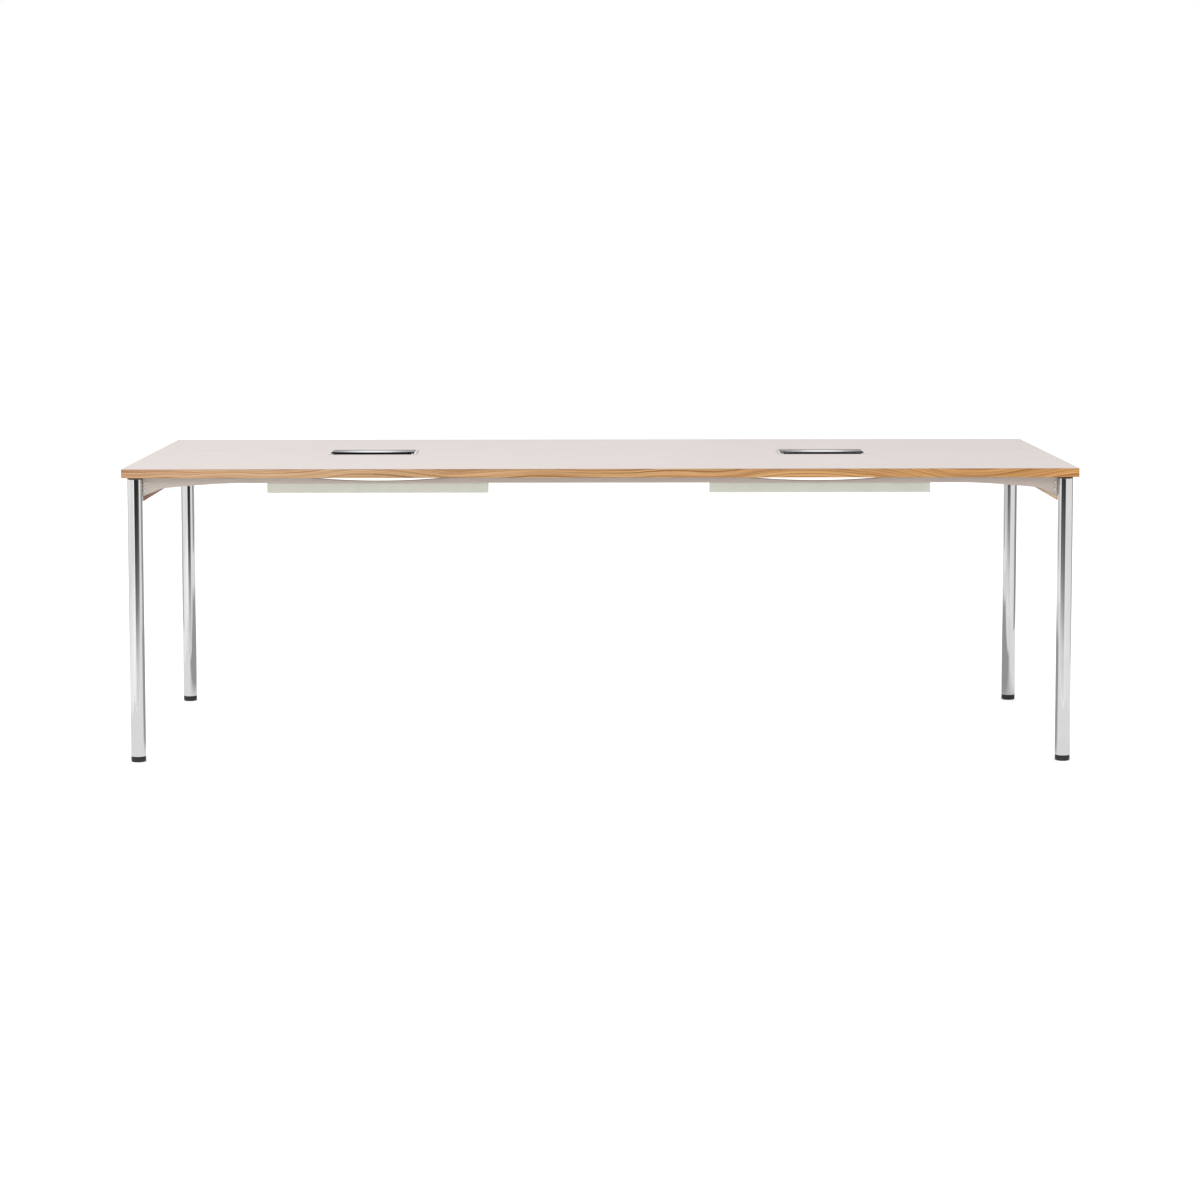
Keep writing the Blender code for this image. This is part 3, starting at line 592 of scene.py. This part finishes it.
# ================================================================== legs, caps, glides, brackets
for tag, sx, sy in CORNERS:
    lo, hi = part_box("leg_tube_" + tag)
    at = ((lo.x + hi.x) / 2, (lo.y + hi.y) / 2)
    r, wall, soft = LEG_R, 0.0020, 0.0006
    z0, z1 = lo.z, hi.z
    profile = [(r - wall, z0 + 0.0003), (r - wall + 0.0003, z0)]
    profile += [(a, b) for a, b in arc(r - soft, z0 + soft, soft, -90, 0, 4)]
    profile.append((r, z0 + soft + 0.0004))
    for i in range(1, 12):
        profile.append((r, z0 + soft + (z1 - z0 - 2 * soft) * i / 12))
    profile.append((r, z1 - soft - 0.0004))
    profile += [(a, b) for a, b in arc(r - soft, z1 - soft, soft, 0, 90, 4)]
    profile += [(r - wall + 0.0003, z1), (r - wall, z1 - 0.0003)]
    leg = piece(
        "leg_" + tag, lathe(bmesh.new(), profile, 96, at, ring=True), CHROME, replaces="leg_tube_" + tag
    )
    inward = Vector((-sx, -sy, 0)).normalized()
    hole = bmesh.new()
    bmesh.ops.create_cone(
        hole, cap_ends=True, segments=28, radius1=0.0044, radius2=0.0044, depth=0.02,
        matrix=Matrix.Translation(Vector((*at, Z_UNDER - BOLT_Z)) + inward * 0.018)
        @ inward.to_track_quat("Z", "Y").to_matrix().to_4x4(),
    )
    carve(leg, hole)

    lo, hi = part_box("leg_cap_" + tag)
    t = hi.z
    profile = [(0, lo.z), (0.0157, lo.z), (0.0167, lo.z + 0.001), (0.0167, t - 0.0038), (0.0181, t - 0.0038)]
    profile += arc(0.0181, t - 0.0031, 0.0007, -90, 0, 3) + [(0.0188, t - 0.0004), (0.0184, t), (0, t)]
    piece("cap_" + tag, lathe(bmesh.new(), profile, 72, at), BLACK, replaces="leg_cap_" + tag)
    eased("leg_insert_" + tag, BLACK, 0.0003)

    body = "glide_" + tag
    profile = [(0, 0.0), (0.0151, 0.0), (0.0165, 0.0003), (0.0176, 0.0009), (0.0183, 0.0018), (0.0187, 0.0030)]
    profile += [(0.0188, 0.0044), (0.0188, 0.0104), (0.0184, 0.0107), (0.0184, 0.0113), (0.0188, 0.0116)]
    profile += [(0.0188, 0.0134), (0.0186, 0.0138), (0.0182, 0.0140), (0.0056, 0.0140), (0.0056, 0.0110), (0, 0.0110)]
    piece("foot_" + tag, lathe(bmesh.new(), profile, 72, at), BLACK, body, replaces="glide_" + tag)
    stud = [(0, 0.0112), (0.0050, 0.0112)]
    z = 0.0130
    while z < 0.0480:
        stud += [(0.0050, z), (0.0050, z + 0.0002), (0.0044, z + 0.00075), (0.0044, z + 0.00095)]
        z += 0.0015
    stud += [(0.0050, 0.0485), (0.0036, 0.0500), (0, 0.0500)]
    piece("stud_" + tag, lathe(bmesh.new(), stud, 32, at), ZINC, body)

    eased("corner_bracket_" + tag, ZINC, 0.0006, segments=2)
    eased("leg_bolt_" + tag, ZINC, 0.0003, segments=2, angle=25.0)


# ================================================================== fasteners
for end, sy in (("front", -1), ("rear", 1)):
    for side, sx in (("left", -1), ("right", 1)):
        for level in ("upper", "lower"):
            node = f"apron_screw_{end}_{side}_{level}"
            lo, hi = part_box(node)
            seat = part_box("apron_" + end)[0 if sy < 0 else 1].y + sy * GAP
            bm = bmesh.new()
            screw(bm, ((lo.x + hi.x) / 2, seat, (lo.z + hi.z) / 2), (0, sy, 0), shank=(0.0242, 0.0017))
            piece(f"screw_{end}_{side}_{level}", bm, SCREW, replaces=node)
for side, sx in (("left", -1), ("right", 1)):
    lo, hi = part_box("rail_" + side)
    outer = hi.x if sx > 0 else lo.x
    bm = bmesh.new()
    for sy in (-1, 1):
        for depth in (0.0145, 0.0330):
            screw(bm, (outer, sy * (LEG_Y - 0.0275), Z_UNDER - depth), (sx, 0, 0))
    piece("rail_screws_" + side, bm, SCREW)


# ================================================================== cable flaps
LID_DISH = 0.0016
for side, sx in (("left", -1), ("right", 1)):
    lo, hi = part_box("flap_frame_" + side)
    cx, cy = (lo.x + hi.x) / 2, (lo.y + hi.y) / 2
    hx, hy = (hi.x - lo.x) / 2, (hi.y - lo.y) / 2
    top = Z_TOP

    # Frame: one folded strip, from inside the collar over the flange and back under it.
    def loop(half_x, half_y, r, z):
        return [(cx + a, cy + b, top + z) for a, b in round_box(-half_x, half_x, -half_y, half_y, r, 5)]

    bm = bmesh.new()
    inner, outer = (0.1037, 0.0537), (0.1052, 0.0552)
    rings = [
        loop(*inner, 0.0020, -0.0255), loop(*inner, 0.0020, 0.0010), loop(inner[0] + 0.0002, inner[1] + 0.0002, 0.0022, 0.00135),
        loop(inner[0] + 0.0006, inner[1] + 0.0006, 0.0026, 0.0016), loop(hx - 0.0007, hy - 0.0007, 0.0018, 0.0016),
        loop(hx - 0.0002, hy - 0.0002, 0.0023, 0.0013), loop(hx, hy, 0.0025, 0.0008), loop(hx, hy, 0.0025, GAP),
        loop(*outer, 0.0030, GAP), loop(*outer, 0.0030, -0.0255), loop(outer[0] - 0.0004, outer[1] - 0.0004, 0.0026, -0.0260),
        loop(inner[0] + 0.0004, inner[1] + 0.0004, 0.0024, -0.0260),
    ]
    loft(bm, rings, caps=False, wrap=True)
    surround = piece("flap_surround_" + side, bm, FRAME, replaces="flap_frame_" + side)
    gate = bmesh.new()
    bmesh.ops.create_cube(gate, size=1.0, matrix=Matrix.Translation((cx, cy - hy + 0.003, top + 0.005)) @ Matrix.Diagonal(
        (2 * 0.1035, 0.0086, 0.010, 1.0)))
    carve(surround, gate)
    bm = bmesh.new()
    for end in (-1, 1):
        xs = sorted((cx + end * (hx - 0.0050), cx + end * hx))
        rings = []
        for run in [0.0075 * (1.0 - math.cos(math.radians(9 * k))) for k in range(11)]:
            rise = 0.0004 + 0.0032 * math.sqrt(max(0.0, 1.0 - (1.0 - run / 0.0075) ** 2))
            rings.append((run, rise))
        rings = [(cy - hy + run, rise) for run, rise in rings] + [(cy + hy - run, rise) for run, rise in reversed(rings)]
        loft(bm, [
            [(a, y, b) for a, b in round_box(xs[0], xs[1], top + 0.0006, top + 0.0006 + rise, min(0.0007, rise * 0.4))]
            for y, rise in rings
        ])
    piece("flap_cheeks_" + side, bm, CHEEK)
    eased("flap_pin_" + side, ZINC, 0.0001)

    # Lid: rolled hinge barrel at the rear, a shallow dished finger pull along the front edge.
    body = "lid_" + side
    llo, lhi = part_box("flap_lid_" + side)
    half = (lhi.x - llo.x) / 2
    y_front, z_low, z_high = llo.y, lhi.z - 0.0020, lhi.z
    hinge = Vector((cx, cy + 0.051, top + 0.0031))

    def dish(x, y):
        u = (x - cx) / (half - 0.010)
        v = (y - y_front) / 0.058
        return LID_DISH * max(0.0, 1.0 - u * u) * max(0.0, 1.0 - v) ** 1.5

    rings = []
    for i in range(57):
        u = -1.0 + 2.0 * i / 56
        x = cx + half * u
        tuck = 0.0004 if i in (0, 56) else 0.0
        ring = []
        soft = 0.0006
        ring += [(y, z) for y, z in arc(y_front + soft, z_low + soft, soft, -90, -180, 3)]
        ring += [(y, z) for y, z in arc(y_front + soft, z_high - soft, soft, 180, 90, 3)]
        ring += [(y_front + 0.0008 + (hinge.y - y_front - 0.0008) * j / 14, z_high) for j in range(1, 14)]
        ring += [(y, z) for y, z in arc(hinge.y, hinge.z, 0.0011, 90, -126, 12)]
        ring += [(hinge.y - 0.0012 - (hinge.y - y_front - 0.0022) * j / 10, z_low) for j in range(0, 11)]
        middle = (z_low + z_high) / 2
        rings.append([
            (x, y, (middle + (z - middle) * (1.0 - tuck / 0.0011) if y < hinge.y - 0.002 else z) - dish(x, y)) for y, z in ring
        ])
    bm = bmesh.new()
    loft(bm, rings)
    lid = piece("lid_plate_" + side, bm, LID, body, replaces="flap_lid_" + side, angle=40.0)
    bore = bmesh.new()
    bmesh.ops.create_cone(
        bore, cap_ends=True, segments=24, radius1=0.00074, radius2=0.00074, depth=0.3,
        matrix=Matrix.Translation(hinge) @ Matrix.Rotation(math.pi / 2, 4, "Y"),
    )
    carve(lid, bore, 40.0)

    # Rubber lip, following the lid's front edge.
    plo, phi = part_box("flap_lip_" + side)
    rings = []
    for i in range(49):
        x = plo.x + (phi.x - plo.x) * i / 48
        drop = dish(x, y_front)
        rings.append([(x, y, z - drop) for y, z in round_box(plo.y, phi.y, plo.z, phi.z, 0.0008, 4)])
    bm = bmesh.new()
    loft(bm, rings)
    piece("lid_lip_" + side, bm, RUBBER, body, replaces="flap_lip_" + side)

    # Brush: a holder along the front edge and bristles lying back towards the lip.
    blo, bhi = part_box("flap_brush_" + side)
    root = cy - 0.0500
    bm = bmesh.new()
    bar(bm, (blo.x, blo.y, top + GAP), (bhi.x, cy - 0.0480, bhi.z), 0.0006)
    bar(bm, (blo.x, cy - 0.0534, blo.z), (bhi.x, root, top + 0.0012), 0.0006)
    rows, count = 6, 250
    for row in range(rows):
        for k in range(count):
            seed = math.sin((k + 1) * 12.9898 + row * 78.233 + sx * 3.1) * 43758.5453
            jitter = seed - math.floor(seed)
            jig = (seed * 7.31) - math.floor(seed * 7.31)
            x = blo.x + 0.0010 + (bhi.x - blo.x - 0.0020) * (k + 0.25 + 0.5 * jitter) / count
            z = top + 0.0014 - 0.0010 * row
            lift = plo.z - dish(x, y_front) - 0.0005 - (top + 0.0014)
            reach = (phi.y - root) * (0.96 + 0.16 * jig)
            sway = (jitter - 0.5) * 0.0012
            r0, r1 = 0.00034, 0.00020
            points = []
            for f, rr in ((0.0, r0), (0.5, r0 * 0.9), (1.0, r1)):
                c = Vector((x + sway * f * f, root - 0.0006 + reach * f, z + lift * f * f))
                points.append([c + Vector((rr * math.cos(a), 0, rr * math.sin(a))) for a in (0.5, 2.6, 4.7)])
            loft(bm, points)
    piece("brush_strip_" + side, bm, BRISTLE, replaces="flap_brush_" + side)


# ================================================================== cable trays
def bent_sheet(path, t, r, steps=5):
    """Closed outline of a sheet of thickness t along a path of (u, v) points, bent with inside radius r."""
    left, right = [], []

    def normal(a, b):
        d = Vector((b[0] - a[0], b[1] - a[1])).normalized()
        return Vector((-d.y, d.x))

    left.append(Vector(path[0]) + normal(path[0], path[1]) * t / 2)
    right.append(Vector(path[0]) - normal(path[0], path[1]) * t / 2)
    for a, b, c in zip(path, path[1:], path[2:]):
        d0 = (Vector(b) - Vector(a)).normalized()
        d1 = (Vector(c) - Vector(b)).normalized()
        turn = d0.x * d1.y - d0.y * d1.x
        angle = math.atan2(turn, d0.dot(d1))
        mid = r + t / 2
        cut = mid * math.tan(abs(angle) / 2)
        start = Vector(b) - d0 * cut
        sign = 1.0 if angle > 0 else -1.0
        n0 = Vector((-d0.y, d0.x)) * sign
        centre = start + n0 * mid
        for i in range(steps + 1):
            a_i = angle * i / steps
            ray = -n0
            ray = Vector((ray.x * math.cos(a_i) - ray.y * math.sin(a_i), ray.x * math.sin(a_i) + ray.y * math.cos(a_i)))
            near, far = centre + ray * (mid - t / 2), centre + ray * (mid + t / 2)
            left.append(near if sign > 0 else far)
            right.append(far if sign > 0 else near)
    left.append(Vector(path[-1]) + normal(path[-2], path[-1]) * t / 2)
    right.append(Vector(path[-1]) - normal(path[-2], path[-1]) * t / 2)
    return [tuple(p) for p in left] + [tuple(p) for p in reversed(right)]


for side, sx in (("left", -1), ("right", 1)):
    lo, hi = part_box("tray_" + side)
    t, lip = 0.0015, 0.006
    h = t / 2
    back = lo.z + 0.016
    path = [
        (lo.y + lip, hi.z - h), (lo.y + h, hi.z - h), (lo.y + h, lo.z + h), (hi.y - h, lo.z + h), (hi.y - h, back - h),
        (hi.y - lip, back - h),
    ]
    outline = bent_sheet(path, t, 0.0012)
    bm = bmesh.new()
    loft(bm, [[(lo.x + (hi.x - lo.x) * i / 6, y, z) for y, z in outline] for i in range(7)])
    trough = piece("trough_" + side, bm, PAINT, replaces="tray_" + side)
    ends = bmesh.new()
    for x in (lo.x, hi.x):
        bmesh.ops.create_cube(ends, size=1.0, matrix=Matrix.Translation((x, hi.y - 0.056, lo.z + 0.02)) @ Matrix.Diagonal(
            (0.016, 2 * (0.140 - 0.0075 - 0.056), 0.08, 1.0)))
    carve(trough, ends)

    rivets = bmesh.new()
    fixings = bmesh.new()
    for end in ("outer", "inner"):
        node = f"tray_hanger_{side}_{end}"
        eased(node, PAINT, 0.00045, segments=2)
        a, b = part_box(node)
        ex = sx if end == "outer" else -sx
        plate = (a.x if ex < 0 else b.x) - ex * 0.022
        for y in (-0.010, 0.030):
            screw(fixings, (plate + ex * 0.012, y, b.z - 0.0015), (0, 0, -1), 0.0040, 0.0024)
        for y in (lo.y + 0.030, hi.y - 0.030):
            bm = lathe(bmesh.new(), [(0, -0.0003), (0.0026, -0.0003), (0.0025, 0.0004), (0.0018, 0.0010), (0, 0.0013)], 20)
            turned_to(bm, (plate - ex * 0.008, y, lo.z), (0, 0, -1))
            temp = bpy.data.meshes.new("part")
            bm.to_mesh(temp)
            bm.free()
            rivets.from_mesh(temp)
            bpy.data.meshes.remove(temp)
    piece("tray_fixings_" + side, fixings, SCREW)
    piece("tray_rivets_" + side, rivets, PAINT)


# ================================================================== angles between the boards and the top
angles, angle_screws = bmesh.new(), bmesh.new()


def fixing_angle(x, y, way, drop):
    """A bent steel angle 30 mm wide: one leg flat against a board, the other under the top, a screw through each."""
    t = 0.0018
    across = Vector((-way.y, way.x, 0))
    outline = bent_sheet([(t / 2, -drop), (t / 2, -t / 2), (0.024, -t / 2)], t, 0.0012)
    rings = []
    for shift in (-0.015, -0.0147, 0.0147, 0.015):
        rings.append([Vector((x, y, Z_UNDER - GAP)) + across * shift + way * u + Vector((0, 0, v)) for u, v in outline])
    loft(angles, rings)
    at = Vector((x, y, Z_UNDER - GAP))
    screw(angle_screws, at + way * 0.0150 - Vector((0, 0, t)), (0, 0, -1), 0.0036, 0.0020)
    screw(angle_screws, at + way * t - Vector((0, 0, drop * 0.62)), way, 0.0030, 0.0018)


for name, sy in (("apron_front", -1), ("apron_rear", 1)):
    lo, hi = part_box(name)
    face = (hi.y if sy < 0 else lo.y) - sy * 0.0002
    for x in (-1.02, -0.82, -0.24, 0.24, 0.82, 1.02):
        fixing_angle(x, face, Vector((0, -sy, 0)), 0.0125)
for name, sx in (("rail_left", -1), ("rail_right", 1)):
    lo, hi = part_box(name)
    face = (hi.x if sx < 0 else lo.x) - sx * 0.0002
    for y in (-0.22, 0.0, 0.22):
        fixing_angle(face, y, Vector((-sx, 0, 0)), 0.0220)
piece("fixing_angles", angles, ZINC)
piece("fixing_screws", angle_screws, SCREW)


# ================================================================== stage: floor, light, camera
def stage_plane(name, centre, size_x, size_y, turn, look):
    bm = bmesh.new()
    bmesh.ops.create_grid(bm, x_segments=1, y_segments=1, size=0.5)
    mesh = bpy.data.meshes.new(name)
    bm.to_mesh(mesh)
    bm.free()
    mesh.materials.append(look)
    made = bpy.data.objects.new(name, mesh)
    scene.collection.objects.link(made)
    made.location = centre
    made.rotation_euler = turn
    made.scale = (size_x, size_y, 1.0)
    return made


floor_look = Look("floor_pale", (0.93, 0.93, 0.93), roughness=0.9)
floor_look.shader.inputs["Emission Color"].default_value = (1.0, 1.0, 1.0, 1.0)
seen = floor_look.node("ShaderNodeLightPath").outputs["Is Camera Ray"]
floor_look.set("Emission Strength", floor_look.math("MULTIPLY", seen, 0.24))
stage_plane("floor", (0, 0, 0), 120.0, 120.0, (0, 0, 0), floor_look.material)


def reflector(name, start, end, stops, height=0.80, base=0.0):
    """An upright studio card that only reflections see, its brightness given by height above its lower edge."""
    look = Look(name, (0.0, 0.0, 0.0), roughness=1.0, specular_ior_level=0.0, emission_strength=1.0)
    split = look.node("ShaderNodeSeparateXYZ", Vector=look.node("ShaderNodeNewGeometry").outputs["Position"])
    up = look.spread(split.outputs[2], base, base + height, 0.0, 1.0)
    look.set("Emission Color", look.ramp(up, [(at / height, (v, v, v)) for at, v in stops]))
    (x0, y0), (x1, y1) = start, end
    made = stage_plane(
        name, ((x0 + x1) / 2, (y0 + y1) / 2, base + height / 2), math.hypot(x1 - x0, y1 - y0), height,
        (math.pi / 2, 0, math.atan2(y1 - y0, x1 - x0)), look.material,
    )
    made.visible_camera = made.visible_diffuse = made.visible_shadow = False
    return made


reflector("card_dark_left", (-1.25, -1.30), (-0.05, -1.36), [(0.0, 0.95), (0.10, 0.86), (0.18, 0.60), (0.27, 0.31), (0.36, 0.18), (0.44, 0.10), (0.55, 0.05), (0.64, 0.03)])
reflector("card_dark_right", (-0.05, -1.36), (1.15, -1.42), [(0.0, 1.0), (0.13, 0.85), (0.20, 0.62), (0.28, 0.42), (0.36, 0.27), (0.43, 0.19), (0.55, 0.09), (0.62, 0.05)])
reflector("card_white", (-1.47, -1.30), (-1.27, -1.30), [(0.0, 1.02), (0.20, 1.20), (0.80, 1.30)])
reflector("card_side", (-4.50, 1.0), (-4.50, -2.6), [(0.0, 1.02), (0.80, 1.12)])
reflector("card_grey_right", (2.60, 0.2), (2.60, 3.6), [(0.0, 0.40), (0.80, 0.26)])
reflector("card_grey_left", (-2.60, 3.6), (-2.60, 0.6), [(0.0, 0.55), (0.80, 0.75)])
reflector("card_back_right", (0.45, 3.2), (1.90, 3.2), [(0.0, 0.30), (0.22, 0.32), (0.36, 0.62), (0.70, 0.70)], 0.70, 0.80)
for tag, middle in (("left", -0.845), ("right", 0.850)):
    reflector("card_lid_" + tag, (middle - 0.07, 3.1), (middle + 0.07, 3.1), [(0.0, 0.80), (0.08, 1.05), (0.30, 1.05)], 0.30, 1.13)

# A narrow card behind the front left leg: dark towards the rear leg, grey towards the front one.
small = Look("card_small", (0.0, 0.0, 0.0), roughness=1.0, specular_ior_level=0.0, emission_strength=1.0)
where = small.node("ShaderNodeNewGeometry")
tall = small.spread(small.node("ShaderNodeSeparateXYZ", Vector=where.outputs["Position"]).outputs[2], 0.0, 0.70, 0.0, 1.0)
rear = small.ramp(tall, [(0.0, (0.95, 0.95, 0.95)), (0.25, (0.60, 0.60, 0.60)), (0.50, (0.10, 0.10, 0.10)), (0.75, (0.03, 0.03, 0.03))])
small.set("Emission Color", small.mix(small.spread(where.outputs["Backfacing"], 0.0, 1.0, 0.0, 1.0), (0.40, 0.40, 0.40), rear))
made = stage_plane("card_small", (-0.745, -0.30, 0.35), 0.67, 0.70, (math.pi / 2, 0, 0), small.material)
made.visible_camera = made.visible_diffuse = made.visible_shadow = False

# Painted shadow: a soft grey pool on the floor between the legs, standing in for the table's shadow, seen only by
# polished metal.
painted_shadow = Look("floor_painted_shadow", (0.0, 0.0, 0.0), roughness=1.0, specular_ior_level=0.0, emission_strength=1.0)
spot = painted_shadow.node("ShaderNodeSeparateXYZ", Vector=painted_shadow.node("ShaderNodeNewGeometry").outputs["Position"])
side = painted_shadow.math("MULTIPLY", painted_shadow.spread(spot.outputs[0], -1.15, -0.85, 0.0, 1.0), painted_shadow.spread(spot.outputs[0], 1.00, 1.45, 1.0, 0.0))
near = painted_shadow.spread(spot.outputs[1], -0.50, -0.36, 0.0, 1.0)
far = painted_shadow.spread(spot.outputs[1], 1.50, 2.30, 1.0, 0.0)
depth = painted_shadow.math("MULTIPLY", painted_shadow.math("MULTIPLY", side, near), far)
painted_shadow.set("Emission Color", painted_shadow.ramp(depth, [(0.0, (0.99, 0.99, 0.99)), (1.0, (0.42, 0.42, 0.42))]))
made = stage_plane("floor_painted_shadow", (0, 0.51, 0.0012), 3.8, 3.58, (0, 0, 0), painted_shadow.material)
made.visible_camera = made.visible_diffuse = made.visible_shadow = False

world = bpy.data.worlds.new("studio")
scene.world = world
world.use_nodes = True
tree = world.node_tree
backdrop = tree.nodes["Background"]
backdrop.inputs["Strength"].default_value = 1.0
sky = tree.nodes.new("ShaderNodeTexCoord")
rise = tree.nodes.new("ShaderNodeSeparateXYZ")
tree.links.new(sky.outputs["Generated"], rise.inputs[0])
dome = tree.nodes.new("ShaderNodeValToRGB")
DOME = ((0.0, 0.31), (0.092, 0.35), (0.135, 0.86), (0.22, 0.93), (0.50, 1.06), (1.0, 1.14))
while len(dome.color_ramp.elements) < len(DOME):
    dome.color_ramp.elements.new(0.5)
for element, (at, v) in zip(dome.color_ramp.elements, DOME):
    element.position, element.color = at, (v, v, v, 1.0)
tree.links.new(rise.outputs[2], dome.inputs[0])
lean = tree.nodes.new("ShaderNodeMath")          # the room is brighter on the left
lean.operation = "MULTIPLY_ADD"
tree.links.new(rise.outputs[0], lean.inputs[0])
lean.inputs[1].default_value, lean.inputs[2].default_value = -0.16, 1.0
room = tree.nodes.new("ShaderNodeVectorMath")
room.operation = "SCALE"
tree.links.new(dome.outputs[0], room.inputs[0])
tree.links.new(lean.outputs[0], room.inputs[3])
path = tree.nodes.new("ShaderNodeLightPath")
pick = tree.nodes.new("ShaderNodeMix")
pick.data_type = "RGBA"
tree.links.new(path.outputs["Is Camera Ray"], pick.inputs[0])
tree.links.new(room.outputs[0], pick.inputs[6])
pick.inputs[7].default_value = (1.0, 1.0, 1.0, 1.0)
tree.links.new(pick.outputs[2], backdrop.inputs["Color"])


def softbox(name, at, aim, wide, high, power, colour=(1.0, 1.0, 1.0)):
    data = bpy.data.lights.new(name, "AREA")
    data.shape = "RECTANGLE"
    data.size, data.size_y = wide, high
    data.energy = power
    data.color = colour
    made = bpy.data.objects.new(name, data)
    scene.collection.objects.link(made)
    made.location = at
    made.rotation_mode = "QUATERNION"
    made.rotation_quaternion = (Vector(aim) - Vector(at)).to_track_quat("-Z", "Y")
    return made


softbox("key", (-1.8, -3.6, 2.8), (-0.1, 0, 0.6), 2.8, 2.0, 58.0).visible_glossy = False

eye = bpy.data.cameras.new("camera")
eye.sensor_width = 36.0
eye.lens = 2856.0 / 1200.0 * 36.0
eye.shift_y = -0.115
eye.clip_end = 400.0
camera = bpy.data.objects.new("camera", eye)
scene.collection.objects.link(camera)
camera.location = (-0.0274, -7.6227, 1.3439)
camera.rotation_euler = (math.radians(90.0 - 4.674), math.radians(0.056), math.radians(-0.215))
scene.camera = camera

scene.view_settings.view_transform = "Standard"
scene.view_settings.look = "None"
scene.view_settings.exposure = 0.0
